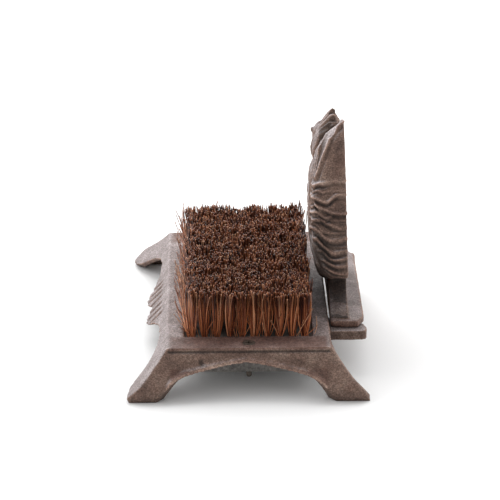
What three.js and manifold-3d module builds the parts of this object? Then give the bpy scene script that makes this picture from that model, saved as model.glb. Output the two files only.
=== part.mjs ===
// Free-standing boot brush: a cast-iron frame on four flared feet, a coir brush screwed under its rim, and a
// cast half-relief rooster bolted to two lugs on the right side. Millimetres, +Z up. The origin is the centre
// of the footprint on the ground, X runs across the frame and Y along its length.

import * as THREE from 'three';
import { ParametricGeometry } from 'three/addons/geometries/ParametricGeometry.js';
import { mergeVertices } from 'three/addons/utils/BufferGeometryUtils.js';
import Module from 'manifold-3d';

const wasm = await Module();
wasm.setup();

// ---------------------------------------------------------------- driving dimensions
const GAP = 0.3; // clearance between pieces that touch

const RIM = { halfX: 71, halfY: 135.4, top: 39.4, under: 34.4, edge: 0.8 };
const HOLE = { halfX: 56, halfY: 110 };
// The skirts run outward as they drop, more so further down, until a knee where the feet turn upright.
const SIDE = { run: 0.73, flare: 0.0072, knee: 4, tuck: 1.2 };
const END = { run: 0.7, flare: 0.009, knee: 12.4 };
const ARCH_SHIFT = 3; // the end arches sit this far left of centre
const WALL = { skirt: 5.5, foot: 10, lip: 3 };

const LUG = { outX: 104, inX: 66, y: 77, halfY: 15, bottom: 27, top: 35.2, corner: 4, taper: 4 };
const PLATE = { minX: 72.5, maxX: 102.5, halfY: 84, bottom: 35.5, top: 41.2, chamfer: 6, clip: 12 };
const STEM = { minX: 72.8, maxX: 88.4, rise: 29 };

// The figure's back plane leans slightly over the brush. Heights are measured from the base plate's top.
const FIGURE = {
  backX: 88.5, lean: 0.01, centreY: 2, centreH: 79, crown: 31, wall: 5.5, thin: 0.9,
  crest: 6, // how far the comb's back stands forward of the back plane
  dip: 4, // how far the face sinks between the neck and the tail's raised edge
  steps: 96,
};

const BOARD = { halfX: 63, halfY: 128.5, bottom: 14.2, top: RIM.under - 0.4 };
const BRISTLE = { rows: 18, tufts: 10, halfX: 54, halfY: 102, depth: 8, top: 77.4, neckTop: 48, neck: 7 };

const SCREW = { y: 123, head: 5.6, shank: 2.4, cone: 3, tip: 7.5, recess: 1.6, recessWidth: 1.1 };
const BOLT = { x: 80.5, y: 71, r: 3, headR: 5.8, headHeight: 4, end: 42.6, washerR: 6.2, washer: 1.6 };

// ---------------------------------------------------------------- materials
const castIron = new THREE.MeshStandardMaterial({ color: 0x5a4842, roughness: 0.8, metalness: 0.35 });
const coir = new THREE.MeshStandardMaterial({ color: 0x6e3a22, roughness: 0.9, metalness: 0 });
const darkBoard = new THREE.MeshStandardMaterial({ color: 0x33362f, roughness: 0.85, metalness: 0 });
const darkSteel = new THREE.MeshStandardMaterial({ color: 0x4a4640, roughness: 0.5, metalness: 0.8 });

// ---------------------------------------------------------------- solids
function toManifold(geometry) {
  const bare = geometry.clone();
  bare.deleteAttribute('normal');
  bare.deleteAttribute('uv');
  const merged = mergeVertices(bare, 1e-4);
  const index = merged.index.array;
  const triangles = [];
  for (let i = 0; i < index.length; i += 3) {
    const [a, b, c] = [index[i], index[i + 1], index[i + 2]];
    if (a !== b && b !== c && c !== a) triangles.push(a, b, c);
  }
  return new wasm.Manifold(new wasm.Mesh({
    numProp: 3,
    vertProperties: new Float32Array(merged.attributes.position.array),
    triVerts: new Uint32Array(triangles),
  }));
}

function fromManifold(solid) {
  const mesh = solid.getMesh();
  const geometry = new THREE.BufferGeometry();
  geometry.setAttribute('position', new THREE.BufferAttribute(new Float32Array(mesh.vertProperties), 3));
  geometry.setIndex(new THREE.BufferAttribute(new Uint32Array(mesh.triVerts), 1));
  geometry.computeVertexNormals();
  return geometry;
}

// A closed skin through a grid of points: rings[i][j] is point j of ring i. Both directions may wrap round.
function skin(rings) {
  const across = rings.length;
  const around = rings[0].length;
  return new ParametricGeometry((u, v, target) => {
    const ring = rings[Math.round(u * across) % across];
    target.copy(ring[Math.round(v * around) % around]);
  }, across, around);
}

function box(minX, maxX, minY, maxY, minZ, maxZ) {
  const geometry = new THREE.BoxGeometry(maxX - minX, maxY - minY, maxZ - minZ);
  geometry.translate((minX + maxX) / 2, (minY + maxY) / 2, (minZ + maxZ) / 2);
  return geometry;
}

// An upright round body from [radius, z] pairs that start and end on the axis.
function turned(profile, segments = 32) {
  const geometry = new THREE.LatheGeometry(profile.map(([r, z]) => new THREE.Vector2(r, z)), segments);
  geometry.rotateX(Math.PI / 2);
  return geometry;
}

// An outline in the YZ plane pushed through from minX to maxX.
function slabX(points, minX, maxX) {
  const shape = new THREE.Shape(points.map(([y, z]) => new THREE.Vector2(y, z)));
  const geometry = new THREE.ExtrudeGeometry(shape, { depth: maxX - minX, bevelEnabled: false });
  geometry.applyMatrix4(new THREE.Matrix4().set(0, 0, 1, minX, 1, 0, 0, 0, 0, 1, 0, 0, 0, 0, 0, 1));
  return geometry;
}

// An outline in the XY plane pushed up from minZ to maxZ.
function slabZ(points, minZ, maxZ) {
  const shape = new THREE.Shape(points.map(([x, y]) => new THREE.Vector2(x, y)));
  const geometry = new THREE.ExtrudeGeometry(shape, { depth: maxZ - minZ, bevelEnabled: false });
  geometry.translate(0, 0, minZ);
  return geometry;
}

// ---------------------------------------------------------------- frame
// Lower edges of the skirts from the middle of a side to its corner, as [distance along, height].
const ARCH_EDGE = [[0, 29.2], [10, 28.4], [20, 26.7], [30, 25], [40, 23.2], [53, 20.3], [60.5, 17.6], [65.7, 14.4],
  [70, 10.4], [73.5, 5], [76, 1], [77, 0], [84, 0], [93, 0]];
const LEFT_EDGE = [[0, 20], [7, 17.2], [14, 15.2], [22, 14.4], [30, 15.6], [37, 19.2], [45, 23], [56, 26.4],
  [70, 28.8], [84, 29.2], [97, 27.2], [108, 23.5], [118, 18.8], [126, 13.2], [134, 7.5], [142, 4.2], [148, 1.5],
  [151, 0], [155, 0]];
const RIGHT_EDGE = [[0, 26.8], [20, 26.8], [40, 26.8], [60, 26.8], [80, 27], [100, 27], [116, 26.8], [128, 25.6],
  [134, 22.8], [139, 18], [145, 11], [149, 6], [151.5, 2], [153, 0], [156, 0]];

const smooth = (t) => {
  const k = Math.min(Math.max(t, 0), 1);
  return k * k * (3 - 2 * k);
};

// Outward run of a skirt at height z.
const sideRun = (z) => (RIM.top - z) * (SIDE.run + SIDE.flare * (RIM.top - z));
const endRun = (z) => (RIM.top - z) * (END.run + END.flare * (RIM.top - z));
const FOOT = { halfX: RIM.halfX + sideRun(SIDE.knee), halfY: RIM.halfY + endRun(END.knee) };

// Stations of one half side: each joins a point of the rim's edge to a point of the skirt's lower edge.
function stations(edge, rimHalf, corner) {
  return [...edge, [corner, 0]].map(([along, height]) => ({ rim: rimHalf * (along / corner), along, height }));
}

// How far a skirt line has gone from the rim to its lower edge at height z, seen from above.
function fallX(z, height) {
  const low = Math.max(height, SIDE.knee);
  return sideRun(Math.max(z, low)) / sideRun(low);
}

function fallY(z, height) {
  const low = Math.max(height, END.knee);
  return endRun(Math.max(z, low)) / endRun(low);
}

// The left skirt hangs a little more steeply in the middle; the right one only stands out at its corners.
function standOut(station, side) {
  if (side.apron) return 0.86 + 0.14 * smooth((station.along - 100) / (FOOT.halfY - 100));
  return 0.04 + 0.96 * smooth((station.along - 124) / (FOOT.halfY - 124));
}

// Outer point of a skirt at height z. The end skirts run along X, the side skirts along Y.
function outerPoint(station, z, side) {
  const tuck = SIDE.tuck * smooth((SIDE.knee - z) / SIDE.knee);
  if (side.end) {
    const x = station.rim + (station.along - station.rim) * fallX(z, station.height);
    const edgeTuck = tuck * smooth((station.along - 90) / (FOOT.halfX - 90));
    return [x - edgeTuck, RIM.halfY + endRun(Math.max(z, END.knee))];
  }
  const y = station.rim + (station.along - station.rim) * fallY(z, station.height);
  return [RIM.halfX + sideRun(Math.max(z, SIDE.knee)) * standOut(station, side) - tuck, y];
}

// The corner ridge of a leg at height z.
function cornerAt(z) {
  return { x: RIM.halfX + sideRun(Math.max(z, SIDE.knee)), y: RIM.halfY + endRun(Math.max(z, END.knee)) };
}

function innerPoint(station, z, side) {
  const [x, y] = outerPoint(station, z, side);
  const wall = WALL.skirt + (WALL.foot - WALL.skirt) * smooth((12 - station.height) / 12);
  const corner = cornerAt(z);
  if (side.end) return [x * (1 - wall / corner.x), y - wall];
  return [x - wall, y * (1 - wall / corner.y)];
}

// Cross-section of the casting at one station: rim top, skirt outside, lower edge, skirt inside, rim underside.
function section(station, side, signX, signY) {
  const { height } = station;
  const [rimX, rimY] = side.end ? [station.rim, RIM.halfY] : [RIM.halfX, station.rim];
  const inset = (wall) => [rimX * (1 - wall / RIM.halfX), rimY * (1 - wall / RIM.halfY)];
  const hole = [rimX * HOLE.halfX / RIM.halfX, rimY * HOLE.halfY / RIM.halfY];
  const lip = Math.max(height, side.end ? END.knee - WALL.lip : SIDE.knee - WALL.lip) + WALL.lip;
  const arch = side.end ? ARCH_SHIFT * (1 - smooth((station.along - 84) / 16)) : 0;
  const shifted = ([x, y], z) => [x * signX - arch * fallX(z, height), y * signY, z];
  const ring = [[hole[0] * signX, hole[1] * signY, RIM.top]];
  ring.push([inset(RIM.edge)[0] * signX, inset(RIM.edge)[1] * signY, RIM.top]);
  for (const part of [0.03, 0.25, 0.5, 0.75, 1]) {
    const z = RIM.top + (lip - RIM.top) * part;
    ring.push(shifted(outerPoint(station, z, side), z));
  }
  const turn = Math.max(height + 1, Math.min(SIDE.knee, lip - 1));
  ring.push(shifted(outerPoint(station, turn, side), turn));
  ring.push(shifted(outerPoint(station, height, side), height));
  ring.push(shifted(innerPoint(station, height, side), height));
  const innerTop = Math.min(lip, RIM.under - 3);
  ring.push(shifted(innerPoint(station, innerTop, side), innerTop));
  ring.push([inset(WALL.skirt)[0] * signX, inset(WALL.skirt)[1] * signY, RIM.under]);
  ring.push([hole[0] * signX, hole[1] * signY, RIM.under]);
  return ring.map((point) => new THREE.Vector3(...point));
}

function frameSkin() {
  const ends = stations(ARCH_EDGE, RIM.halfX, FOOT.halfX);
  const right = stations(RIGHT_EDGE, RIM.halfY, FOOT.halfY);
  const left = stations(LEFT_EDGE, RIM.halfY, FOOT.halfY);
  const endSide = { end: true };
  const rightSide = { apron: false };
  const leftSide = { apron: true };
  const rings = [];
  const run = (list, side, signX, signY, outward) => {
    const ordered = outward ? list.slice(1) : list.slice(0, -1).reverse();
    ordered.forEach((station) => rings.push(section(station, side, signX, signY)));
  };
  run(ends, endSide, 1, -1, true);
  run(right, rightSide, 1, -1, false);
  run(right, rightSide, 1, 1, true);
  run(ends, endSide, 1, 1, false);
  run(ends, endSide, -1, 1, true);
  run(left, leftSide, -1, 1, false);
  run(left, leftSide, -1, -1, true);
  run(ends, endSide, -1, -1, false);
  return skin(rings.reverse());
}

// A lug's outer corners are round, and its outer edge narrows towards the middle of the frame.
function lugOutline(side) {
  const { inX, outX, y, halfY, corner, taper } = LUG;
  const points = [[inX, -halfY]];
  for (let step = 0; step <= 4; step += 1) {
    const turn = (step / 4 - 1) * Math.PI / 2;
    points.push([outX - corner + corner * Math.cos(turn), -halfY + corner + corner * Math.sin(turn)]);
  }
  points.push([outX, -halfY / 3], [outX - taper, halfY / 3], [outX - taper, halfY - 1], [outX - taper - 1, halfY],
    [inX, halfY]);
  const placed = points.map(([px, py]) => [px, side * (y - py)]);
  return side > 0 ? placed.reverse() : placed;
}

function frame() {
  let body = toManifold(frameSkin());
  for (const side of [-1, 1]) {
    body = body.add(toManifold(slabZ(lugOutline(side), LUG.bottom, LUG.top)));
  }
  for (const side of [-1, 1]) {
    const bore = BOLT.r + GAP;
    const boltHole = turned([[0, LUG.bottom - 1], [bore, LUG.bottom - 1], [bore, LUG.top + 1], [0, LUG.top + 1]]);
    boltHole.translate(BOLT.x, side * BOLT.y, 0);
    const shank = SCREW.shank + GAP;
    const coneFoot = RIM.top - SCREW.cone - GAP;
    const wide = SCREW.head + GAP;
    const sunk = turned([[0, RIM.under - 1], [shank, RIM.under - 1], [shank, coneFoot], [wide, RIM.top],
      [wide, RIM.top + 1], [0, RIM.top + 1]]);
    sunk.translate(0, side * SCREW.y, 0);
    body = body.subtract(toManifold(boltHole)).subtract(toManifold(sunk));
  }
  return fromManifold(body);
}

// ---------------------------------------------------------------- upright figure
// Outline of the rooster in its back plane, round from the breast: [y, height, depth of the side wall].
const OUTLINE = [
  [67, 79, 24], [65, 97, 23], [62, 111, 21], [68, 115, 16], [79, 123, 9], [80, 128, 8], [67, 132, 18],
  [63, 141, 16], [55, 147.5, 14], [46, 151, 12], [36, 148.5, 13], [29, 141, 15], [21, 127, 17], [14, 143, 9],
  [8, 156, 5], [-10, 145, 17], [-24, 125, 27], [-38, 100, 31], [-46, 80, 31], [-60, 58, 29], [-72, 37, 18],
  [-58, 31, 22], [-38, 22, 24], [-18, 17, 24], [4, 16, 24], [28, 17, 24], [44, 24, 24], [57, 43, 24],
];

// The comb is thinner than the body: its back stands forward of the back plane.
function crestLift(y, height) {
  return FIGURE.crest * smooth((height - 136) / 12) * smooth((y - 14) / 14);
}

// The figure's rings run from the crown of the relief over its edge, across the back rim and into the hollow.
// The face dips a little between the neck and the tail's raised edge.
function figureSkin() {
  const knots = OUTLINE.map(([y, z, depth]) => new THREE.Vector3(y, z, depth));
  const loop = new THREE.CatmullRomCurve3(knots, true, 'centripetal');
  const edge = [];
  for (let step = 0; step < FIGURE.steps; step += 1) edge.push(loop.getPoint(step / FIGURE.steps));
  const { crown, wall: casting } = FIGURE;
  const levels = [
    [0, () => crown],
    [0.35, (wall) => crown + (wall - crown) * 0.05],
    [0.62, (wall) => crown + (wall - crown) * 0.2],
    [0.83, (wall) => crown + (wall - crown) * 0.55],
    [0.97, (wall) => wall],
    [1, (wall) => wall * 0.93],
    [1, null],
    [0.88, null],
    [0.84, (wall) => wall * 0.9 - casting],
    [0.5, (wall) => crown + (wall - crown) * 0.2 - casting],
    [0, () => crown - casting],
  ];
  return skin(edge.map((point) => levels.map(([reach, depthAt]) => {
    const y = FIGURE.centreY + (point.x - FIGURE.centreY) * reach;
    const height = FIGURE.centreH + (point.y - FIGURE.centreH) * reach;
    const dip = reach < 0.9 ? FIGURE.dip * smooth((height - 88) / 30) : 0;
    const lift = crestLift(y, height);
    const depth = depthAt ? Math.max(depthAt(point.z) - dip, lift + FIGURE.thin) : lift;
    return new THREE.Vector3(FIGURE.backX - FIGURE.lean * height - depth, y, PLATE.top + height);
  })));
}

// Base plate: a long slab whose outer corners are clipped.
function plateOutline() {
  const { minX, maxX, halfY, chamfer, clip } = PLATE;
  return [[minX, -halfY + 2], [minX + 2, -halfY], [maxX - chamfer, -halfY], [maxX, -halfY + clip],
    [maxX, halfY - clip], [maxX - chamfer, halfY], [minX + 2, halfY], [minX, halfY - 2]];
}

// Stem: a low mound with coved ends that rises from the plate into the figure.
function stemOutline() {
  const foot = -1;
  const cove = [[79, 1.6], [72, 4.6], [63, 7.6], [54, 11.6], [47, 16.4], [42, 22], [39.5, STEM.rise]];
  const near = [[80, foot], ...cove].map(([y, height]) => [-y, PLATE.top + height]);
  const far = [[80, foot], ...cove].map(([y, height]) => [y, PLATE.top + height]);
  return [...near, ...far.reverse()];
}

function uprightFigure() {
  const relief = toManifold(figureSkin());
  const plate = toManifold(slabZ(plateOutline(), PLATE.bottom, PLATE.top));
  const stem = toManifold(slabX(stemOutline(), STEM.minX, STEM.maxX));
  let body = relief.add(plate).add(stem);
  for (const side of [-1, 1]) {
    const bore = BOLT.r + GAP;
    const end = BOLT.end + GAP * 2;
    const hole = turned([[0, PLATE.bottom - 1], [bore, PLATE.bottom - 1], [bore, end], [0, end]]);
    hole.translate(BOLT.x, side * BOLT.y, 0);
    body = body.subtract(toManifold(hole));
  }
  return fromManifold(body);
}

// ---------------------------------------------------------------- brush
function brushBoard() {
  const { halfX, halfY, bottom, top } = BOARD;
  let body = toManifold(box(-halfX, halfX, -halfY, halfY, bottom, top));
  for (const side of [-1, 1]) {
    const bore = SCREW.shank + GAP;
    const hole = turned([[0, bottom - 1], [bore, bottom - 1], [bore, top + 1], [0, top + 1]], 24);
    hole.translate(0, side * SCREW.y, 0);
    body = body.subtract(toManifold(hole));
  }
  return fromManifold(body);
}

// One row of tufts: separate at the board and grown together above it.
function bristleRow() {
  const { tufts, halfX, depth, top, neckTop, neck } = BRISTLE;
  const pitch = 2 * halfX / tufts;
  const low = BOARD.top + GAP;
  const shape = new THREE.Shape();
  shape.moveTo(-halfX - 2, top);
  for (let tuft = 0; tuft < tufts; tuft += 1) {
    const centre = -halfX + pitch * (tuft + 0.5);
    if (tuft === 0) shape.lineTo(-halfX, neckTop);
    shape.lineTo(centre - neck / 2, low);
    shape.lineTo(centre + neck / 2, low);
    shape.lineTo(centre + pitch / 2, neckTop);
  }
  shape.lineTo(halfX + 2, top);
  shape.closePath();
  const geometry = new THREE.ExtrudeGeometry(shape, { depth, bevelEnabled: false });
  geometry.rotateX(Math.PI / 2);
  geometry.translate(0, depth / 2, 0);
  return geometry;
}

// ---------------------------------------------------------------- fasteners
function brushScrew() {
  const top = RIM.top - 0.2;
  const { head, shank, cone, tip, recess, recessWidth } = SCREW;
  const body = turned([[0, tip], [shank - 0.9, tip], [shank, tip + 1], [shank, top - cone], [head, top], [0, top]]);
  let solid = toManifold(body);
  for (const [wide, long] of [[recessWidth, head], [head, recessWidth]]) {
    solid = solid.subtract(toManifold(box(-wide / 2, wide / 2, -long / 2, long / 2, top - recess, top + 1)));
  }
  return fromManifold(solid);
}

function figureWasher() {
  const top = LUG.bottom - GAP;
  const low = top - BOLT.washer;
  const bore = BOLT.r + GAP;
  const ring = [[bore, low], [BOLT.washerR, low], [BOLT.washerR, top], [bore, top], [bore, low]];
  return turned(ring);
}

function figureBolt() {
  const headTop = LUG.bottom - BOLT.washer - 2 * GAP;
  const shank = turned([[0, headTop - 1], [BOLT.r, headTop - 1], [BOLT.r, BOLT.end - 0.8], [BOLT.r - 0.8, BOLT.end],
    [0, BOLT.end]]);
  const head = new THREE.CylinderGeometry(BOLT.headR, BOLT.headR, BOLT.headHeight, 6);
  head.rotateX(Math.PI / 2);
  head.translate(0, 0, headTop - BOLT.headHeight / 2);
  return fromManifold(toManifold(shank).add(toManifold(head)));
}

// ---------------------------------------------------------------- assembly
const group = new THREE.Group();

function place(name, geometry, material, x = 0, y = 0, z = 0) {
  const mesh = new THREE.Mesh(geometry, material);
  mesh.name = name;
  mesh.position.set(x, y, z);
  group.add(mesh);
}

place('frame', frame(), castIron);
place('upright_figure', uprightFigure(), castIron);
place('brush_board', brushBoard(), darkBoard);

const rowPitch = 2 * BRISTLE.halfY / (BRISTLE.rows - 1);
for (let row = 0; row < BRISTLE.rows; row += 1) {
  const name = `bristle_row_${String(row + 1).padStart(2, '0')}`;
  place(name, bristleRow(), coir, 0, -BRISTLE.halfY + row * rowPitch);
}

for (const [end, side] of [['near', -1], ['far', 1]]) {
  place(`brush_screw_${end}`, brushScrew(), darkSteel, 0, side * SCREW.y);
  place(`figure_washer_${end}`, figureWasher(), darkSteel, BOLT.x, side * BOLT.y);
  place(`figure_bolt_${end}`, figureBolt(), darkSteel, BOLT.x, side * BOLT.y);
}

export default group;
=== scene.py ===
"""Looks for the boot brush: a cast-iron frame with a coir brush and a cast rooster bolted beside it.

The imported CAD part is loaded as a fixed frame. The castings are finer copies of their CAD meshes with the cast
relief added, and the bristle rows become single coir fibres. Metres, +Z up, the CAD part's own frame.
"""

import math

import bmesh
import bpy
import numpy as np
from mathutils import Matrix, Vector, noise
from mathutils.bvhtree import BVHTree


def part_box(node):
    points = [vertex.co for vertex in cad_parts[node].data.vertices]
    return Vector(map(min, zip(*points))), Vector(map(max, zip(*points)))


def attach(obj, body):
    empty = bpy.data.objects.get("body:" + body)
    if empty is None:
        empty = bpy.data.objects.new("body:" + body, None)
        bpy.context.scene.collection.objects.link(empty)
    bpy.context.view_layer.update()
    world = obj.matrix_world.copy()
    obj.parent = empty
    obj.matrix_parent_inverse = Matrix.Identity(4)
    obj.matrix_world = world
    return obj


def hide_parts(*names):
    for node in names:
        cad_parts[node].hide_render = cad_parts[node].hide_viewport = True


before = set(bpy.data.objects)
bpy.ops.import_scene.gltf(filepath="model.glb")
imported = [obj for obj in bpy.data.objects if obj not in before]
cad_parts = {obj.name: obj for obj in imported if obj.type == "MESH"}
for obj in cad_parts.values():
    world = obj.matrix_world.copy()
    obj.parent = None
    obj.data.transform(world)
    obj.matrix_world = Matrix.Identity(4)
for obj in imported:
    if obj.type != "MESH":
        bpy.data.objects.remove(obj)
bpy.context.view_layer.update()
MM = 0.001

# ---------------------------------------------------------------- driving values
# Sizes are in mm unless a name says otherwise; MM turns them into metres.
FRAME_VOXEL = 1.0
FIGURE_VOXEL = 0.9
SOFTEN_ROUNDS = 2

RIM_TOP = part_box("frame")[1].z / MM
RIM_HALF_X = 71
RIM_HALF_Y = 135.4
PLATE_TOP = 41.2  # top of the figure's base plate

FIBRES_PER_TUFT = 46
TUFTS = 10  # in a row
FIBRE_RADIUS = 0.5
STRAY_FIBRES = 130

SEED = 11
PLAIN_SHADE = 0.5  # plain value of the shade painted on the castings, which holds painted shade, painted highlights and random tone: less is darker, more is paler


# ---------------------------------------------------------------- mesh helpers
def new_object(name, mesh):
    obj = bpy.data.objects.new(name, mesh)
    bpy.context.scene.collection.objects.link(obj)
    return obj


def mesh_from(name, points, faces):
    mesh = bpy.data.meshes.new(name)
    mesh.from_pydata([tuple(p) for p in points], [], [tuple(f) for f in faces])
    mesh.update()
    return mesh


def coords(mesh):
    values = np.empty(len(mesh.vertices) * 3)
    mesh.vertices.foreach_get("co", values)
    return values.reshape(-1, 3)


def normals(mesh):
    values = np.empty(len(mesh.vertices) * 3)
    mesh.vertices.foreach_get("normal", values)
    return values.reshape(-1, 3)


def set_coords(mesh, points):
    mesh.vertices.foreach_set("co", np.ascontiguousarray(points).ravel())
    mesh.update()


def smoothstep(value, low, high):
    t = np.clip((value - low) / (high - low), 0, 1)
    return t * t * (3 - 2 * t)


def baked(obj):
    """Replace an object's mesh with its evaluated one, so no modifier is left on it."""
    depsgraph = bpy.context.evaluated_depsgraph_get()
    mesh = bpy.data.meshes.new_from_object(obj.evaluated_get(depsgraph))
    obj.modifiers.clear()
    obj.data = mesh
    return obj


def fused(name, meshes, voxel):
    """One closed casting from overlapping closed meshes: joined, voxel remeshed and softened."""
    whole = bmesh.new()
    for mesh in meshes:
        whole.from_mesh(mesh)
    mesh = bpy.data.meshes.new(name)
    whole.to_mesh(mesh)
    whole.free()
    obj = new_object(name, mesh)
    remesh = obj.modifiers.new("remesh", "REMESH")
    remesh.mode = "VOXEL"
    remesh.voxel_size = voxel * MM
    soften = obj.modifiers.new("soften", "SMOOTH")
    soften.factor = 0.5
    soften.iterations = SOFTEN_ROUNDS
    baked(obj)
    obj.data.shade_smooth()
    return obj


def relax(mesh, weight, rounds):
    """Moves each point toward the middle of its neighbours, by its weight. Points on the ground stay on it."""
    edges = np.empty(len(mesh.edges) * 2, dtype=np.int64)
    mesh.edges.foreach_get("vertices", edges)
    a, b = edges.reshape(-1, 2).T
    points = coords(mesh)
    count = np.bincount(edges, minlength=len(points))[:, None]
    ground_band = 0.4 * MM
    grounded = points[:, 2] < ground_band
    floor_z = points[grounded, 2].copy()
    for _ in range(rounds):
        total = np.zeros_like(points)
        for axis in range(3):
            total[:, axis] = (np.bincount(a, points[b, axis], len(points))
                              + np.bincount(b, points[a, axis], len(points)))
        points += weight[:, None] * (total / count - points)
        points[grounded, 2] = floor_z
    set_coords(mesh, points)


def tube(path, radii, sides=8):
    """A closed round tube along a path of points in mm."""
    path, radii = np.array(path, float) * MM, np.array(radii, float) * MM
    ahead = np.gradient(path, axis=0)
    ahead /= np.linalg.norm(ahead, axis=1)[:, None]
    never_ahead = [1.0, 0.03, 0.02]  # no path here runs along this
    side = np.cross(ahead, never_ahead)
    side /= np.linalg.norm(side, axis=1)[:, None]
    up = np.cross(side, ahead)
    turn = np.arange(sides) * 2 * math.pi / sides
    ring = np.cos(turn)[None, :, None] * side[:, None] + np.sin(turn)[None, :, None] * up[:, None]
    points = path[:, None] + ring * radii[:, None, None]
    points = [*points.reshape(-1, 3), path[0], path[-1]]
    faces = []
    for i in range(len(path) - 1):
        for j in range(sides):
            a, b = i * sides + j, i * sides + (j + 1) % sides
            faces.append((a, b, b + sides, a + sides))
    first, last = len(points) - 2, len(points) - 1
    end = (len(path) - 1) * sides
    for j in range(sides):
        k = (j + 1) % sides
        faces.append((first, k, j))
        faces.append((last, end + j, end + k))
    return mesh_from("tube", points, faces)


def blob(centre, size, turn=0.0):
    """An ellipsoid with the given centre and half sizes in mm, turned about X."""
    body = bmesh.new()
    bmesh.ops.create_icosphere(body, subdivisions=3, radius=1)
    mesh = bpy.data.meshes.new("blob")
    body.to_mesh(mesh)
    body.free()
    points = coords(mesh) * np.array(size)
    c, s = math.cos(turn), math.sin(turn)
    y = points[:, 1] * c - points[:, 2] * s
    z = points[:, 1] * s + points[:, 2] * c
    set_coords(mesh, (np.stack([points[:, 0], y, z], axis=1) + np.array(centre)) * MM)
    return mesh


def curve_through(points, steps):
    """Points of a smooth curve through the given ones."""
    points = np.array(points, float)
    ends = np.concatenate([[2 * points[0] - points[1]], points, [2 * points[-1] - points[-2]]])
    out = []
    for i in range(len(points) - 1):
        a, b, c, d = ends[i:i + 4]
        for t in np.arange(steps) / steps:
            out.append(0.5 * (2 * b + (c - a) * t + (2 * a - 5 * b + 4 * c - d) * t * t
                              + (3 * b - a - 3 * c + d) * t ** 3))
    out.append(points[-1])
    return np.array(out)


def fractal(points, scale, octaves=3, shift=0.0):
    """Smooth noise at each point, about -1 to 1."""
    points = points + shift
    return np.array([noise.fractal(Vector(p) * scale, 1.0, 2.0, octaves) for p in points])


def painted(mesh, label, values):
    """Stores one value for each point of the mesh, for a material to read."""
    attribute = mesh.attributes.new(label, "FLOAT", "POINT")
    attribute.data.foreach_set("value", np.clip(values, 0, 1).astype(np.float32))


def profile(value, height, centre, width):
    """A rounded ridge across value, or a groove when height is below 0."""
    return height * np.exp(-((value - centre) / width) ** 2)


def segment_distance(px, py, start, end):
    """How far each point lies from a straight line, and how far along it (0 to 1)."""
    (ax, ay), (bx, by) = start, end
    length = math.hypot(bx - ax, by - ay)
    ux, uy = (bx - ax) / length, (by - ay) / length
    along = np.clip((px - ax) * ux + (py - ay) * uy, 0, length)
    return np.hypot(px - ax - along * ux, py - ay - along * uy), along / length


# ---------------------------------------------------------------- frame casting
LEAF_GROOVES = [  # across the left apron, from the rim's edge to the lobes: [x, y] to [x, y]
    [(-74, 31), (-92, 40)], [(-74, 21), (-93, 30)], [(-74, 11), (-93, 20)], [(-74, 0), (-92, 6)],
    [(-74, -14), (-93, -8)], [(-74, -26), (-93, -19)], [(-74, -38), (-90, -31)],
]
ARCH = [(0, 29.2), (20, 26.7), (40, 23.2), (53, 20.3), (65.7, 14.4), (73.5, 5), (77, 0)]  # lower edge of an end
ARCH_CENTRE = -2.4
FOOT_WEB = [(83, 142, 12.5, 2.2), (88, 144, 8.5, 2.7), (92.5, 147, 6, 2.9),
            (97, 151, 4.5, 2.4)]  # x, y, z and radius, down the inner edge of a right foot
RIDGE_RUN, RIDGE_FLARE = 0.73, 0.0072  # how the right side spreads as it falls
PIT = ((-41.5, 30.2), (-41, 29))  # a casting pit in the near end, [x, z] to [x, z]

# Cast relief: (height, where, width) of each rounded profile.
GROOVE, GROOVE_BANK = (-1.4, 0, 1.4), (0.5, 3.4, 1.6)  # out from a groove's line
BEAD, BEAD_VALLEY = (1.0, 1.8, 1.9), (-0.45, 6.5, 2.4)  # up from an arch's edge
CREASE = (-0.8, -2.4, 1.1)  # up from the rim's top, across an end
END_HOLLOW = (-0.3, 28, 4.5)  # up an end
RIM_LIP = (0.35, -0.9, 0.9)  # out from the rim's end edge
PIT_DENT = (-0.9, 0, 1.7)
# Painted shade and painted highlights: (amount, where, width).
BROW_HIGHLIGHT, CREASE_SHADE = (0.18, -0.3, 0.8), (-0.30, -2.4, 1.1)  # painted highlight on the brow and painted shade in the crease, up from the rim's top
PIT_SHADE = (-0.3, 0, 1.9)
# painted highlight on the arch's bead and painted shade in the hollow above it, painted shade on the lugs' near
# faces; the unevenness is random tone
BEAD_SHADE, LUG_SHADE, UNEVEN_SHADE = 0.10, -0.13, 0.05


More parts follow.
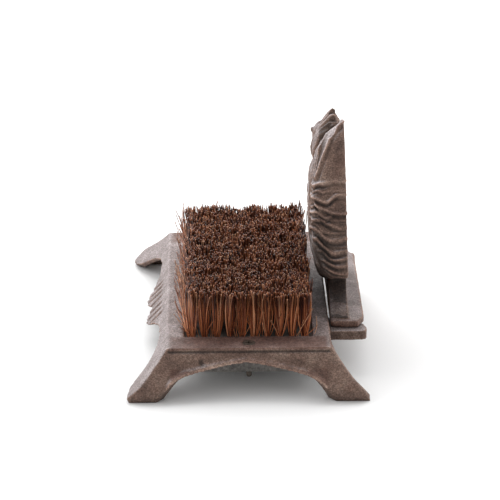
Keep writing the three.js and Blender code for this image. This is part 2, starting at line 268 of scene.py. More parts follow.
def frame_casting():
    radii = [radius for *_, radius in FOOT_WEB]
    webs = [tube([(x, y * side, z) for x, y, z, _ in FOOT_WEB], radii) for side in (-1, 1)]
    obj = fused("frame_casting", [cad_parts["frame"].data] + webs, FRAME_VOXEL)
    mesh = obj.data
    x, y, z = (coords(mesh) / MM).T
    feet = smoothstep(z, 16, 10) * smoothstep(np.abs(y), 138, 144)
    fall = RIM_TOP - z
    ridge_x = RIM_HALF_X + fall * (RIDGE_RUN + RIDGE_FLARE * fall)
    right_ridge = profile(x, 1, ridge_x, 4) * (np.abs(y) > RIM_HALF_Y) * smoothstep(z, 38, 32)
    relax(mesh, 0.8 * np.maximum(feet, right_ridge), rounds=14)

    points, facing = coords(mesh), normals(mesh)
    x, y, z = (points / MM).T
    face_x, face_y, face_z = facing.T
    beyond_x, beyond_y, rise = np.abs(x) - RIM_HALF_X, np.abs(y) - RIM_HALF_Y, z - RIM_TOP
    push = np.zeros(len(points))

    apron = (beyond_x > 1.5) & (face_x < -0.2) & (np.abs(y) < 50)
    for start, end in LEAF_GROOVES:
        away, along = segment_distance(x, y, start, end)
        fade = smoothstep(along, 0, 0.3) * smoothstep(along, 1, 0.7)
        push += apron * fade * (profile(away, *GROOVE) + profile(away, *GROOVE_BANK))

    ends = (beyond_y > 0) & (face_y * np.sign(y) > 0.15)
    edge = np.interp(np.abs(x - ARCH_CENTRE), *np.array(ARCH).T)
    bead = (profile(z - edge, *BEAD) + profile(z - edge, *BEAD_VALLEY)) * smoothstep(edge, 6, 14)
    push += ends * bead * smoothstep(z - edge, -1, 1)
    across = smoothstep(beyond_x, 1, -3)
    push += ends * across * profile(rise, *CREASE)
    push += ends * (np.abs(x) < 62) * profile(z, *END_HOLLOW)
    push += (beyond_y < 0.2) * (face_z > 0.7) * profile(beyond_y, *RIM_LIP)

    near_end = (y < -RIM_HALF_Y) & (face_y < 0)
    pit, _ = segment_distance(x, z, *PIT)
    push += near_end * profile(pit, *PIT_DENT)
    push += 0.22 * fractal(points, 90) + 0.10 * fractal(points, 420, 2, shift=0.3)
    push *= smoothstep(z, 0.2, 1.4)  # the soles stay flat on the ground
    set_coords(mesh, points + facing * push[:, None] * MM)

    # Painted light on the frame: a highlight on the brow and shade in the crease along each end, a highlight on
    # the arch's bead and shade in the hollow above it, shade in the pit and on the lugs' near faces. The
    # unevenness is random tone.
    shade = PLAIN_SHADE + ends * across * (profile(rise, *BROW_HIGHLIGHT) + profile(rise, *CREASE_SHADE))
    shade += BEAD_SHADE * ends * bead
    shade += near_end * profile(pit, *PIT_SHADE)
    lugs = (x > 72) & (np.abs(y) < 100) & (face_y < -0.4)
    shade += LUG_SHADE * lugs
    shade += UNEVEN_SHADE * fractal(points, 160, 2, shift=0.9)
    painted(mesh, "shade", shade)
    # painted shadow of the bristles: the top strips of the rim's ends painted darker and red-brown, carried with
    # the rust patches
    bristle_shadow_strips = (face_z > 0.7) * smoothstep(np.abs(y), 108, 113) * smoothstep(beyond_x, -1, -6)
    patches = 0.35 * ends * smoothstep(fractal(points, 24, 2, shift=0.2), 0.0, 0.4)
    painted(mesh, "rust_and_bristle_shadow", bristle_shadow_strips * (0.95 + 0.4 * fractal(points, 40, 2)) + patches)
    return obj


# ---------------------------------------------------------------- figure casting
# Feather folds on the near wall: half width, then [x, z] from the front edge back.
WALL_FOLDS = [
    (1.7, [(56.8, 147), (62.7, 150.5), (68.3, 151.5), (76, 153.5)]),
    (1.9, [(57, 139.5), (64.5, 138), (70.5, 136.7), (78, 141.5), (87, 142.5)]),
    (1.6, [(58.5, 136), (62, 132.5), (69.8, 129.4), (76.4, 127.4), (84, 127.4)]),
    (1.7, [(57.3, 127.4), (62, 128.4), (69.6, 123.2), (76, 126)]),
    (1.6, [(58, 121.1), (64, 122.2), (71.8, 118.2), (80.6, 115.4), (87.4, 115)]),
    (2.1, [(57.5, 115.4), (62.7, 113.4), (69.2, 107.7), (77, 105.8), (87, 107.7)]),
    (1.8, [(61, 107.5), (67.9, 101), (74.5, 96.7), (87, 98.5)]),
    (1.4, [(65.5, 98.5), (72.2, 93), (80, 91.7), (87, 93)]),
    (1.4, [(67, 91.3), (73.2, 88), (80, 86.2), (87, 86.8)]),
    (1.2, [(68.5, 85.5), (76, 81.5), (84, 80), (87, 80.3)]),
    (1.1, [(57, 143.6), (61, 145.2), (66, 144.2), (70, 145.5)]),
    (1.1, [(57, 132), (60.5, 133.2), (64, 129), (69, 126.5)]),
    (1.0, [(58, 124.6), (62, 125.2), (67, 120.8), (72, 121.6)]),
    (1.1, [(57.5, 118.4), (61, 118), (66, 113.2), (72, 112)]),
    (1.0, [(60, 111.4), (64, 109), (68.5, 104.4), (74, 101.5)]),
]
# Thin rims along the tail's front edge, and the lip under the tail.
WALL_RIMS = [
    (0.85, [(86.5, 196), (80.5, 192.5), (75.5, 187.5), (72, 181.5), (68.2, 173), (64, 163), (60, 154)]),
    (0.85, [(70, 188), (65.9, 180.5), (62, 172), (59, 163), (57.5, 155)]),
]
TAIL_LIP = (1.1, [(66, 79), (74, 74.5), (81, 72.6), (87.5, 72.4)])

# Ribs on the relief's face: radius, then [y, height above the plate] from root to tip.
TAIL_FEATHERS = [
    (2.6, [(-20, 62), (-44, 72), (-42, 92), (-28, 116), (-13, 136), (1, 149)]),
    (2.6, [(-16, 70), (-36, 82), (-34, 99), (-21, 119), (-8, 134), (3, 143)]),
    (2.4, [(-12, 78), (-28, 88), (-26, 103), (-14, 119), (-4, 130), (5, 136)]),
    (2.2, [(-8, 84), (-19, 94), (-17, 107), (-8, 118), (1, 125)]),
    (2.0, [(-3, 89), (-10, 98), (-8, 107), (-1, 114)]),
    (2.4, [(-18, 54), (-38, 58), (-52, 52), (-62, 40)]),
    (2.2, [(-14, 46), (-32, 48), (-46, 42), (-56, 36)]),
]
WING_FEATHERS = [
    (2.6, [(30, 78), (18, 90), (2, 90), (-12, 82), (-24, 68)]),
    (2.2, [(28, 70), (16, 79), (2, 78), (-12, 70), (-24, 59)]),
    (2.2, [(28, 62), (14, 69), (0, 67), (-12, 59), (-22, 50)]),
    (2.0, [(27, 55), (14, 59), (2, 57), (-9, 50), (-17, 43)]),
    (1.8, [(25, 48), (14, 50), (4, 47), (-5, 41)]),
]
HACKLES = [
    (1.7, [(56, 126), (60, 110), (60, 94), (55, 80)]),
    (1.7, [(50, 127), (53, 111), (52, 95), (46, 80)]),
    (1.7, [(44, 128), (45, 112), (43, 97), (37, 84)]),
    (1.6, [(38, 129), (37, 114), (34, 101), (28, 90)]),
    (1.5, [(32, 127), (30, 116), (26, 106), (20, 97)]),
]
BREAST_FEATHERS = [
    (1.5, [(48, 70), (53, 62), (52, 53)]), (1.5, [(38, 64), (42, 55), (40, 46)]),
    (1.5, [(56, 82), (60, 74), (59, 66)]), (1.5, [(28, 42), (30, 34), (27, 27)]),
    (1.5, [(44, 44), (45, 36), (41, 29)]), (1.5, [(12, 38), (12, 30), (9, 24)]),
]
# Rounded masses of the head: (x, y, height) of the centre, then half sizes.
HEAD_MASSES = [
    ((70.5, 50, 126), (9.5, 13, 14)),  # skull
    ((76.0, 45, 136), (8.0, 17, 8.0)),  # root of the comb
    ((67, 62, 111.5), (3.4, 3.6, 8.5)), ((68.5, 55, 110), (3.0, 3.2, 7.0)),  # wattles
    ((61.6, 55, 130), (2.0, 2.8, 2.8)),  # eye
    ((62.6, 44, 122), (2.0, 3.4, 4.6)),  # ear lobe
]
BEAK = [(73, 58, 127.5, 5.6), (73.5, 64, 127.5, 4.9), (74, 69.5, 126.6, 3.7), (74.5, 74, 125, 2.4),
        (75, 77.5, 122.8, 0.8)]  # x, y, height and radius, from the root to the point
EYE_Y, EYE_HEIGHT, EYE_RADIUS = 55, 130, 2.4
COMB = [(31.5, 140, 5.6, 0.5), (38.7, 144, 7.0, 0.3), (45.9, 146, 7.6, 0.05), (53.1, 144, 6.6, -0.2),
        (60.3, 139.5, 5.2, -0.45)]  # y, height, half length and slant of each point
COMB_X, COMB_HALF_X, COMB_HALF_Y = 79.0, 4.2, 2.8
COMB_PITCH, COMB_GAP = 7.2, 4.2  # from point to point, and how deep the gaps are cut

RIB_JUMP = 9 * MM  # a rib ends where the surface under it drops away
RIB_SINK = 0.12  # how far a rib's centre lies under the skin, in radii
RAY_START = -0.2  # m, outside the figure
INTO_WALL, INTO_FACE = Vector((0, 1, 0)), Vector((1, 0, 0))

# Cast relief on the near wall: (height, where, width) of each rounded profile.
FOLD_RIDGE, FOLD_VALLEY = (0.9, 0, 0.85), (-0.9, -1.7, 0.85)  # up from a fold's line, in its half widths
RIM_VALLEY = (-0.7, 2.6, 1.3)  # out from a rim's line
RIM_HEIGHT = 1.5
TAIL_FRONT = (3.4, 180, 9)  # up the wall: brings the tail's front edge forward
THROAT = (4.5, 109, 6)  # above the plate: the waist under the head
# Painted shade and highlights on the figure: fold crests paler and valleys darker, a painted shadow of the brush
# on the low front, painted shade on the stem's and the head's near faces
RELIEF_SHADE, BELLY_SHADE, STEM_SHADE, PLATE_END_SHADE = 0.14, -0.32, -0.24, 0.18
HEAD_SIDE_SHADE, EYE_SHADE = -0.22, -0.30


def surface(tree, origin, direction):
    """Where a ray first meets the CAD figure, or None."""
    return tree.ray_cast(Vector(origin), direction)[0]


def rib(tree, points, radius, direction, sink=RIB_SINK):
    """A tapered rib on the skin that direction meets: the near wall [x, z] or the face [y, height]."""
    path = []
    for a, b in curve_through(points, 7):
        if direction is INTO_WALL:
            origin = (a * MM, RAY_START, b * MM)
        else:
            origin = (RAY_START, a * MM, (PLATE_TOP + b) * MM)
        hit = surface(tree, origin, direction)
        if hit is None:
            continue
        place = hit + direction * radius * sink * MM
        if path and (place - path[-1]).length > RIB_JUMP:
            break
        path.append(place)
    if len(path) < 4:
        return []
    share = np.linspace(0.12, 0.98, len(path))  # of a half turn: thin at the root, thinner at the tip
    radii = radius * (0.35 + 0.65 * np.sin(math.pi * share) ** 0.7)
    return [tube(np.array(path) / MM, radii)]


def near_wall(points, facing):
    """1 on the figure's near wall, fading to 0 round its edges."""
    y, z = points[:, 1] / MM, points[:, 2] / MM
    step = 3.0
    levels = np.arange(z.min() + 2, z.max(), step)
    nearest = np.array([y[np.abs(z - level) < step].min() for level in levels])
    behind = y - np.interp(z, levels, nearest)
    return smoothstep(behind, 16, 8) * smoothstep(facing[:, 1], 0.05, -0.45)


def wall_relief(x, z):
    """Height of the feather folds and of the tail's rims on the near wall."""
    wobble = 0.8 * fractal(np.column_stack([x, z, 0 * x]), 0.09, 2)
    relief = np.zeros(len(x))
    for half_width, points in WALL_FOLDS:
        line = curve_through(points, 6)
        along = (x - line[0, 0]) / (line[-1, 0] - line[0, 0])
        over = (z + wobble - np.interp(x, line[:, 0], line[:, 1])) / half_width
        fade = smoothstep(along, -0.25, 0.02) * (1 - 0.55 * smoothstep(along, 0.45, 1.0))
        relief += half_width * fade * (profile(over, *FOLD_RIDGE) + profile(over, *FOLD_VALLEY))
    for half_width, points in WALL_RIMS:
        line = curve_through(points, 4)
        away = np.min([segment_distance(x, z, a, b)[0] for a, b in zip(line[:-1], line[1:])], axis=0)
        relief += profile(away, RIM_HEIGHT, 0, half_width) + profile(away, *RIM_VALLEY)
    return relief


def figure_parts(source, tree):
    """The CAD figure and everything cast onto it, as overlapping closed meshes."""
    lip_radius, lip = TAIL_LIP
    parts = [source] + rib(tree, lip, lip_radius, INTO_WALL, sink=0.1)
    for radius, points in TAIL_FEATHERS + WING_FEATHERS + HACKLES + BREAST_FEATHERS:
        parts += rib(tree, points, radius, INTO_FACE)
    parts.append(tube([(x, y, PLATE_TOP + height) for x, y, height, _ in BEAK], [point[3] for point in BEAK]))
    for (x, y, height), size in HEAD_MASSES:
        parts.append(blob((x, y, PLATE_TOP + height), size))
    for y, height, half_length, slant in COMB:
        parts.append(blob((COMB_X, y, PLATE_TOP + height), (COMB_HALF_X, COMB_HALF_Y, half_length), slant))
    return parts


def shape_head(points, facing, tree):
    """Cuts the gaps in the comb, keeps the head's back flat and draws in the throat."""
    _, y, z = (points / MM).T
    height = z - PLATE_TOP
    gaps = 0.5 - 0.5 * np.cos(2 * math.pi * (y - COMB[0][0]) / COMB_PITCH)
    comb = smoothstep(y, 27, 31) * smoothstep(y, 66, 61) * smoothstep(height, 131, 146)
    points[:, 2] -= COMB_GAP * MM * gaps * comb
    for i in np.flatnonzero((height > 112) & (y > 18) & (facing[:, 0] > 0)):
        back = surface(tree, (-RAY_START, y[i] * MM, z[i] * MM), -INTO_FACE)
        if back is not None:
            points[i, 0] = min(points[i, 0], back.x)
    front = (facing[:, 0] < 0) * smoothstep(-facing[:, 0], 0, 0.5)
    points[:, 0] += MM * profile(height, *THROAT) * smoothstep(y, 8, 26) * front


def figure_casting():
    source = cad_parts["upright_figure"].data
    tree = BVHTree.FromPolygons([v.co.copy() for v in source.vertices],
                                [list(p.vertices) for p in source.polygons])
    obj = fused("figure_casting", figure_parts(source, tree), FIGURE_VOXEL)
    mesh = obj.data
    points, facing = coords(mesh), normals(mesh)
    relax(mesh, 0.7 * near_wall(points, facing) * smoothstep(points[:, 0] / MM, 84, 78), rounds=16)

    points, facing = coords(mesh), normals(mesh)
    wall = near_wall(points, facing)
    x, y, z = (points / MM).T
    height = z - PLATE_TOP
    points[:, 0] -= MM * wall * profile(z, *TAIL_FRONT) * smoothstep(x, 84, 75)
    x = points[:, 0] / MM
    relief = wall_relief(x, z) * wall * smoothstep(z, 72, 78)
    shape_head(points, facing, tree)
    push = 0.20 * fractal(points, 100) + 0.12 * fractal(points, 420, 2, shift=0.7)
    push *= smoothstep(z, 35.8, 37)  # the seat on the lugs stays flat
    set_coords(mesh, points + facing * (push + relief)[:, None] * MM)

    face_x, face_y, _ = facing.T
    # Painted light: fold crests paler and valleys darker, a painted shadow of the brush on the low front,
    # painted shade on the stem's and the head's near faces. Also the near wall darker toward the bottom and
    # paler toward the top, the plate's near end faces paler and the eye darker; the unevenness is random tone.
    shade = PLAIN_SHADE + RELIEF_SHADE * relief
    shade += wall * (0.05 * smoothstep(z, 140, 165) - 0.13 * smoothstep(z, 140, 100))
    shade += BELLY_SHADE * smoothstep(x, 76, 66) * smoothstep(z, 116, 92) * smoothstep(z, 66, 72)
    shade += STEM_SHADE * (face_y < -0.4) * (z < 72) * (height > 1)
    shade += PLATE_END_SHADE * (face_y < -0.4) * (height < 0.5)
    shade += HEAD_SIDE_SHADE * (face_y < -0.25) * (x > 66) * (y > 18) * smoothstep(height, 122, 128)
    from_eye = np.hypot(y - EYE_Y, height - EYE_HEIGHT) / EYE_RADIUS
    shade += EYE_SHADE * (face_x < 0) * np.exp(-from_eye ** 4)
    shade += UNEVEN_SHADE * fractal(points, 160, 2, shift=0.9)
    painted(mesh, "shade", shade)
    plate_ends = (height < 0.5) * smoothstep(np.abs(y), 78, 81)
    patches = 0.5 * wall * smoothstep(x, 72, 84) * smoothstep(fractal(points, 30, 2, shift=0.5), -0.1, 0.3)
    painted(mesh, "rust_and_bristle_shadow", plate_ends * 0.6 + patches)
    return obj


# ---------------------------------------------------------------- coir fibres
def fibre_mesh(name, roots, tips, bends, radii, tones, lit, sides=3, rings=6):
    """Many fibres in one mesh, in metres. Each runs from a root to a tip and bows by its bend at half height.

    Fibres on the outside of the brush (lit near 1) stay bright down to their roots.
    """
    lit_root = 0.36
    never_ahead = [0.31, 0.95, 0.0]
    count = len(roots)
    t = np.linspace(0, 1, rings)
    centre = (roots[:, None] * (1 - t)[None, :, None] + tips[:, None] * t[None, :, None]
              + bends[:, None] * (4 * t * (1 - t))[None, :, None])
    ahead = np.gradient(centre, axis=1)
    ahead /= np.linalg.norm(ahead, axis=2)[..., None]
    side = np.cross(ahead, never_ahead)
    side /= np.linalg.norm(side, axis=2)[..., None]
    up = np.cross(side, ahead)
    taper = np.interp(t, [0, 0.5, 1], [0.75, 0.95, 1.1])
    turn = np.arange(sides) * 2 * math.pi / sides
    spread = (np.cos(turn)[:, None] * side[:, :, None] + np.sin(turn)[:, None] * up[:, :, None])
    points = centre[:, :, None] + spread * (radii[:, None] * taper[None, :])[:, :, None, None]
    per = rings * sides
    base = np.arange(count)[:, None, None] * per
    i = np.arange(rings - 1)[None, :, None] * sides
    j = np.arange(sides)[None, None, :]
    k = (j + 1) % sides
    quads = np.stack([base + i + j, base + i + k, base + i + sides + k, base + i + sides + j], axis=-1)
    quads = quads.reshape(-1, 4)
    low = np.arange(count)[:, None] * per + np.arange(sides)[::-1][None]
    high = np.arange(count)[:, None] * per + (rings - 1) * sides + np.arange(sides)[None]
    caps = np.concatenate([low, high])
    mesh = bpy.data.meshes.new(name)
    mesh.from_pydata(points.reshape(-1, 3).tolist(), [], quads.tolist() + caps.tolist())
    raised = lit_root * lit[:, None]
    height = raised + (1 - raised) * np.repeat(t, sides)[None]
    for label, values in (("tone", np.repeat(tones, per)), ("height", height.ravel())):
        attribute = mesh.attributes.new(label, "FLOAT", "POINT")
        attribute.data.foreach_set("value", values.astype(np.float32))
    mesh.update()
    return mesh


def bristle_row(row, node):
    """One row of tufts that fan out from the board and end in an uneven cut top."""
    rng = np.random.default_rng(SEED + row)
    low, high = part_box(node)
    middle_y = (low.y + high.y) / 2
    half_x = (high.x - low.x) / 2 - 2 * MM
    pitch = 2 * half_x / TUFTS
    root_spread = 2.3 * MM
    tip_spread = [5.6 * MM, 6.2 * MM]
    bend = 1.3 * MM
    roots, tips, bends, lit = [], [], [], []
    end_row = row in (0, len(rows) - 1)
    for tuft in range(TUFTS):
        centre = [-half_x + pitch * (tuft + 0.5), middle_y]
        lean = rng.normal(0, 1.3 * MM, 2)
        turn = rng.uniform(0, 2 * math.pi, FIBRES_PER_TUFT)
        reach = np.sqrt(rng.uniform(0, 1, FIBRES_PER_TUFT))
        away = np.stack([np.cos(turn), np.sin(turn)], axis=1) * reach[:, None]
        root = away * root_spread + centre
        tip = away * tip_spread + centre + lean
        tip += rng.normal(0, 1.5 * MM, (FIBRES_PER_TUFT, 2))
        top = high.z + rng.normal(0, 1.4 * MM, FIBRES_PER_TUFT) + rng.normal(-0.4 * MM, 1.2 * MM)
        roots.append(np.column_stack([root, np.full(FIBRES_PER_TUFT, low.z)]))
        tips.append(np.column_stack([tip, top]))
        bends.append(rng.normal(0, bend, (FIBRES_PER_TUFT, 3)) * [1, 1, 0])
        outer = end_row or tuft in (0, TUFTS - 1)
        lit.append(np.full(FIBRES_PER_TUFT, 1.0 if outer else 0.0))
    count = TUFTS * FIBRES_PER_TUFT
    tones = np.clip(rng.normal(0.5, 0.27, count), 0, 1)
    radii = FIBRE_RADIUS * MM * rng.uniform(0.7, 1.25, count)
    mesh = fibre_mesh(node + "_fibres", np.concatenate(roots), np.concatenate(tips), np.concatenate(bends),
                      radii, tones, np.concatenate(lit))
    return new_object(node + "_fibres", mesh)


def stray_fibres():
    """Loose fibres that splay out of the left side and a few across the near end."""
    rng = np.random.default_rng(SEED)
    low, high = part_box("bristle_row_01")
    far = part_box("bristle_row_18")[1].y
    count = STRAY_FIBRES
    left = count * 2 // 3
    short = left // 4
    on_left = np.arange(count) < left
    y = rng.uniform(low.y, far, count)
    root_x = np.where(on_left, low.x + 4 * MM, rng.uniform(low.x, high.x, count))
    root_y = np.where(on_left, y, low.y + 3 * MM)
    roots = np.column_stack([root_x, root_y, np.full(count, low.z)])
    out = rng.uniform(3, 13, count) * MM
    tips = roots.copy()
    tips[:left, 0] -= out[:left]
    tips[left:, 1] -= out[left:] * 0.3
    tips[left:, 0] += rng.normal(0, 9 * MM, count - left)
    tips[:, 1] += rng.normal(0, 4 * MM, count)
    tips[:, 2] = high.z + rng.normal(-4 * MM, 4 * MM, count)
    tips[left:, 2] = rng.uniform(low.z + 12 * MM, high.z - 6 * MM, count - left)
    tips[:short, 2] = rng.uniform(low.z + 15 * MM, high.z - 12 * MM, short)
    tips[:, 2] = np.minimum(tips[:, 2], high.z + 3 * MM)
    bends = rng.normal(0, 1.5 * MM, (count, 3)) * [1, 1, 0]
    tones = rng.uniform(0.45, 1.0, count)
    radii = np.full(count, 0.7 * FIBRE_RADIUS * MM)
    mesh = fibre_mesh("stray_fibres", roots, tips, bends, radii, tones, np.ones(count), rings=8)
    return new_object("stray_fibres", mesh)


# ---------------------------------------------------------------- materials
def node_material(name):
    material = bpy.data.materials.new(name)
    material.use_nodes = True
    tree = material.node_tree
    shader = tree.nodes["Principled BSDF"]
    return material, tree, shader


def add(tree, kind, **values):
    node = tree.nodes.new(kind)
    for key, value in values.items():
        setattr(node, key, value)
    return node


def noise_node(tree, scale, detail, roughness, vector):
    node = add(tree, "ShaderNodeTexNoise")
    node.inputs["Scale"].default_value = scale
    node.inputs["Detail"].default_value = detail
    node.inputs["Roughness"].default_value = roughness
    tree.links.new(vector, node.inputs["Vector"])
    return node.outputs["Fac"]


def ramp(tree, source, stops):
    node = add(tree, "ShaderNodeValToRGB")
    elements = node.color_ramp.elements
    while len(elements) < len(stops):
        elements.new(0.5)
    for element, (position, colour) in zip(elements, stops):
        element.position = position
        element.color = (*colour, 1) if len(colour) == 3 else colour
    tree.links.new(source, node.inputs["Fac"])
    return node.outputs["Color"]


def grey(value):
    return (value, value, value)


def mix(tree, kind, factor, a, b):
    node = add(tree, "ShaderNodeMix", data_type="RGBA", blend_type=kind)
    for socket, value in ((node.inputs["Factor"], factor), (node.inputs[6], a), (node.inputs[7], b)):
        if isinstance(value, (int, float)):
            socket.default_value = value
        elif isinstance(value, tuple):
            socket.default_value = (*value, 1)
        else:
            tree.links.new(value, socket)
    return node.outputs[2]


def object_coords(tree):
    return add(tree, "ShaderNodeTexCoord").outputs["Object"]


def stored(tree, name):
    """A value painted on the mesh's points."""
    return add(tree, "ShaderNodeAttribute", attribute_name=name).outputs["Fac"]


def bump(tree, shader, height, strength, depth):
    """Fine surface relief, depth in mm."""
    node = add(tree, "ShaderNodeBump")
    node.inputs["Strength"].default_value = strength
    node.inputs["Distance"].default_value = depth * MM
    tree.links.new(height, node.inputs["Height"])
    tree.links.new(node.outputs["Normal"], shader.inputs["Normal"])


LIT_SIDE = (-0.45, 0.10, 0.75)  # painted light: faces turned this way, up and to the left toward the lamps, are painted greyer and paler, as a sheen
IRON_BROWN = [(0.30, (0.092, 0.054, 0.042)), (0.50, (0.172, 0.106, 0.080)), (0.70, (0.245, 0.168, 0.131))]
# the iron's painted sheen: the lit, paler and greyer copy of its colour
IRON_LIT_SHEEN = [(0.30, (0.180, 0.145, 0.138)), (0.55, (0.265, 0.222, 0.218)), (0.75, (0.360, 0.310, 0.310))]
# red-brown rust colour, also used for the painted shadow of the bristles on the rim's top strips
IRON_RUST_AND_SHADOW = [(0.3, (0.085, 0.040, 0.030)), (0.7, (0.175, 0.092, 0.068))]
SAND_SPECKS = [(0.34, grey(0.20)), (0.50, grey(0.98)), (0.64, grey(2.0))]
# painted light by curvature: painted shade in hollows, painted highlights on ridges and edges
RIDGE_HIGHLIGHTS_HOLLOW_SHADE = [(0.42, grey(0.30)), (0.49, grey(0.92)), (0.52, grey(1.1)), (0.58, grey(1.9))]
# painted shade where the surroundings hide the light, from ambient occlusion
OCCLUSION_SHADE = [(0.25, grey(0.28)), (0.55, grey(0.72)), (0.9, grey(1.08))]
PAINTED_SHADE = [(0.08, grey(0.22)), (0.30, grey(0.52)), (0.5, grey(1.0)), (0.72, (1.45, 1.55, 1.62))]


def cast_iron():
    """Brown, sand-cast iron with a fine grain and painted light: a greyer, paler painted sheen on faces turned
    up and to the left, painted highlights on ridges, painted shade in hollows and where it lies sheltered.
    """
    material, tree, shader = node_material("cast_iron_sand_cast")
    place = object_coords(tree)
    geometry = add(tree, "ShaderNodeNewGeometry")
    facing = add(tree, "ShaderNodeVectorMath", operation="DOT_PRODUCT")
    tree.links.new(geometry.outputs["Normal"], facing.inputs[0])
    facing.inputs[1].default_value = LIT_SIDE
    mottle = noise_node(tree, scale=55, detail=5, roughness=0.65, vector=place)
    grain = noise_node(tree, scale=800, detail=3, roughness=0.7, vector=place)
    coarse = noise_node(tree, scale=420, detail=2, roughness=0.5, vector=place)
    # painted sheen: faces turned up and to the left get the greyer, paler lit colour
    lit_side_sheen = ramp(tree, facing.outputs["Value"], [(0.54, grey(0)), (0.80, grey(1))])
    colour = mix(tree, "MIX", lit_side_sheen, ramp(tree, mottle, IRON_BROWN), ramp(tree, mottle, IRON_LIT_SHEEN))
    specks = ramp(tree, grain, SAND_SPECKS)
    colour = mix(tree, "MULTIPLY", 0.62, colour, specks)
    # painted highlights on ridges and painted shade in hollows, from the surface's curvature
    colour = mix(tree, "MULTIPLY", 0.9, colour, ramp(tree, geometry.outputs["Pointiness"], RIDGE_HIGHLIGHTS_HOLLOW_SHADE))
    # painted shade: darker in corners, hollows and under other parts, from ambient occlusion
    occlusion_shade = add(tree, "ShaderNodeAmbientOcclusion", samples=6)
    occlusion_shade.inputs["Distance"].default_value = 30 * MM
    colour = mix(tree, "MULTIPLY", 0.85, colour, ramp(tree, occlusion_shade.outputs["AO"], OCCLUSION_SHADE))
    # the rust colour, which also paints the bristles' shadow on the rim's top strips
    rust_and_bristle_shadow = mix(tree, "MULTIPLY", 0.5, ramp(tree, mottle, IRON_RUST_AND_SHADOW), specks)
    rust_and_shadow_share = ramp(tree, stored(tree, "rust_and_bristle_shadow"), [(0.0, grey(0.0)), (1.0, grey(0.85))])
    colour = mix(tree, "MIX", rust_and_shadow_share, colour, rust_and_bristle_shadow)
    colour = mix(tree, "MULTIPLY", 1.0, colour, ramp(tree, stored(tree, "shade"), PAINTED_SHADE))
    tree.links.new(colour, shader.inputs["Base Color"])
    rough = ramp(tree, coarse, [(0.3, grey(0.52)), (0.7, grey(0.78))])
    tree.links.new(rough, shader.inputs["Roughness"])
    shader.inputs["Metallic"].default_value = 0.15
    shader.inputs["Specular IOR Level"].default_value = 0.45
    bump(tree, shader, mix(tree, "MIX", 0.45, grain, coarse), strength=0.85, depth=0.7)
    return material


COIR_TONES = [(0.0, (0.040, 0.012, 0.008)), (0.3, (0.130, 0.034, 0.018)), (0.5, (0.340, 0.105, 0.045)),
              (0.75, (0.640, 0.240, 0.105)), (1.0, (0.800, 0.440, 0.260))]
# painted light along each fibre by its height: shade near the root and just below the tip, paler a little under
# half height and at the tip
COIR_PAINTED_LIGHT = [(0.0, grey(0.06)), (0.2, grey(0.42)), (0.42, grey(1.45)), (0.80, grey(0.85)), (0.90, grey(0.42)),
             (0.97, grey(0.34)), (1.0, grey(0.80))]


def coir():
    """Coir fibre: each fibre has its own brown, with painted light along it: painted shade near black at the
    root and darker just below its cut tip, paler a little under half height and at the tip.
    """
    material, tree, shader = node_material("coir_fibre")
    colour = ramp(tree, stored(tree, "tone"), COIR_TONES)
    # painted shade and highlights along the fibre
    colour = mix(tree, "MULTIPLY", 1.0, colour, ramp(tree, stored(tree, "height"), COIR_PAINTED_LIGHT))
    streak = noise_node(tree, scale=900, detail=2, roughness=0.6, vector=object_coords(tree))
    colour = mix(tree, "MULTIPLY", 0.5, colour, ramp(tree, streak, [(0.35, grey(0.6)), (0.65, grey(1.3))]))
    tree.links.new(colour, shader.inputs["Base Color"])
    shader.inputs["Roughness"].default_value = 0.42
    shader.inputs["Specular IOR Level"].default_value = 0.5
    return material


PAINT_GREY = [(0.3, (0.085, 0.079, 0.072)), (0.55, (0.190, 0.176, 0.162)), (0.8, (0.320, 0.295, 0.272))]
TARNISH = [(0.3, (0.060, 0.052, 0.042)), (0.55, (0.135, 0.110, 0.090)), (0.78, (0.230, 0.185, 0.155))]


def board_wood():
    """Dark grey painted wood, with long grain along the board."""
    material, tree, shader = node_material("board_painted_wood")
    mapping = add(tree, "ShaderNodeMapping")
    mapping.inputs["Scale"].default_value = (1.0, 0.08, 1.0)
    tree.links.new(object_coords(tree), mapping.inputs["Vector"])
    grain = noise_node(tree, scale=420, detail=5, roughness=0.65, vector=mapping.outputs["Vector"])
    blotch = noise_node(tree, scale=45, detail=3, roughness=0.5, vector=object_coords(tree))
    blotches = ramp(tree, blotch, [(0.3, grey(0.6)), (0.7, grey(1.2))])
    colour = mix(tree, "MULTIPLY", 0.6, ramp(tree, grain, PAINT_GREY), blotches)
    tree.links.new(colour, shader.inputs["Base Color"])
    tree.links.new(ramp(tree, grain, [(0.3, grey(0.8)), (0.8, grey(0.6))]), shader.inputs["Roughness"])
    bump(tree, shader, grain, strength=0.6, depth=0.4)
    return material


def dark_steel():
    """Dull plated steel with brown tarnish."""
    material, tree, shader = node_material("dark_plated_steel")
    tarnish = noise_node(tree, scale=500, detail=4, roughness=0.65, vector=object_coords(tree))
    tree.links.new(ramp(tree, tarnish, TARNISH), shader.inputs["Base Color"])
    tree.links.new(ramp(tree, tarnish, [(0.3, grey(0.65)), (0.75, grey(0.42))]), shader.inputs["Roughness"])
    shader.inputs["Metallic"].default_value = 0.6
    bump(tree, shader, tarnish, strength=0.4, depth=0.3)
    return material


def plain_floor():
    material, tree, shader = node_material("pale_floor")
    shader.inputs["Base Color"].default_value = (0.93, 0.93, 0.93, 1)
    shader.inputs["Roughness"].default_value = 0.9
    return material


# ---------------------------------------------------------------- pieces
def give(obj, material):
    obj.data.materials.clear()
    obj.data.materials.append(material)


def finish_piece(obj, slot, material, *nodes):
    give(obj, material)
    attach(obj, "root")
    if nodes:
        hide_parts(*nodes)


IRON, COIR, BOARD, STEEL = cast_iron(), coir(), board_wood(), dark_steel()

finish_piece(frame_casting(), "cast_iron", IRON, "frame")
finish_piece(figure_casting(), "cast_iron", IRON, "upright_figure")

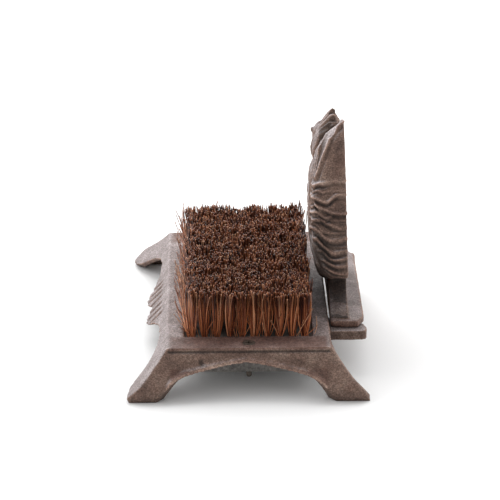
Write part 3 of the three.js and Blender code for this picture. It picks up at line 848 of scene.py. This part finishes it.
rows = sorted(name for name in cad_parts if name.startswith("bristle_row_"))
for number, node in enumerate(rows):
    finish_piece(bristle_row(number, node), "coir", COIR, node)
finish_piece(stray_fibres(), "coir", COIR)

give(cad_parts["brush_board"], BOARD)
for end in ("near", "far"):
    for kind in ("brush_screw_", "figure_washer_", "figure_bolt_"):
        give(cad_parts[kind + end], STEEL)


# ---------------------------------------------------------------- stage, light and camera
FLOOR_HALF = 6.0  # m
# name, place and height aimed at, in m, then width in m and power in W
SOFTBOXES = [
    ("back_softbox", (-0.3, 1.7, 1.5), 0.05, 2.8, 54.0),
    ("left_softbox", (-1.6, 0.3, 0.9), 0.08, 1.6, 16.0),
    ("right_softbox", (1.7, 1.0, 0.9), 0.08, 1.8, 18.0),
]
SKY = [(0.0, grey(0.54)), (0.4, grey(0.78))]  # from the near side to the far side
CAMERA_PLACE = (-0.04007, -2.04451, 0.90167)  # m
CAMERA_TILT, CAMERA_TURN = 68, -1.2225  # degrees, up from straight down and about Z
LENS, SENSOR = 175.9, 36
CLIP_NEAR, CLIP_FAR = 0.05, 20  # m


def floor():
    half = FLOOR_HALF
    points = [(-half, -half, 0), (half, -half, 0), (half, half, 0), (-half, half, 0)]
    obj = new_object("floor", mesh_from("floor", points, [(0, 1, 2, 3)]))
    give(obj, plain_floor())


def softbox(name, place, target_height, width, power):
    data = bpy.data.lights.new(name, "AREA")
    data.shape = "DISK"
    data.size = width
    data.energy = power
    obj = bpy.data.objects.new(name, data)
    bpy.context.scene.collection.objects.link(obj)
    obj.location = place
    aim = Vector((0, 0, target_height)) - Vector(place)
    obj.rotation_euler = aim.to_track_quat("-Z", "Y").to_euler()


def studio():
    """Soft white surroundings, a little brighter behind the object, and three softboxes."""
    world = bpy.data.worlds.new("soft_white")
    bpy.context.scene.world = world
    world.use_nodes = True
    tree = world.node_tree
    background = tree.nodes["Background"]
    background.inputs["Strength"].default_value = 1.0
    direction = add(tree, "ShaderNodeTexCoord").outputs["Generated"]
    split = add(tree, "ShaderNodeSeparateXYZ")
    tree.links.new(direction, split.inputs["Vector"])
    tree.links.new(ramp(tree, split.outputs["Y"], SKY), background.inputs["Color"])
    for box in SOFTBOXES:
        softbox(*box)
    bpy.context.scene.view_settings.view_transform = "Standard"


def camera():
    data = bpy.data.cameras.new("camera")
    data.lens = LENS
    data.sensor_width = SENSOR
    data.clip_start, data.clip_end = CLIP_NEAR, CLIP_FAR
    obj = bpy.data.objects.new("camera", data)
    bpy.context.scene.collection.objects.link(obj)
    obj.location = CAMERA_PLACE
    obj.rotation_euler = (math.radians(CAMERA_TILT), 0, math.radians(CAMERA_TURN))
    bpy.context.scene.camera = obj


floor()
studio()
camera()
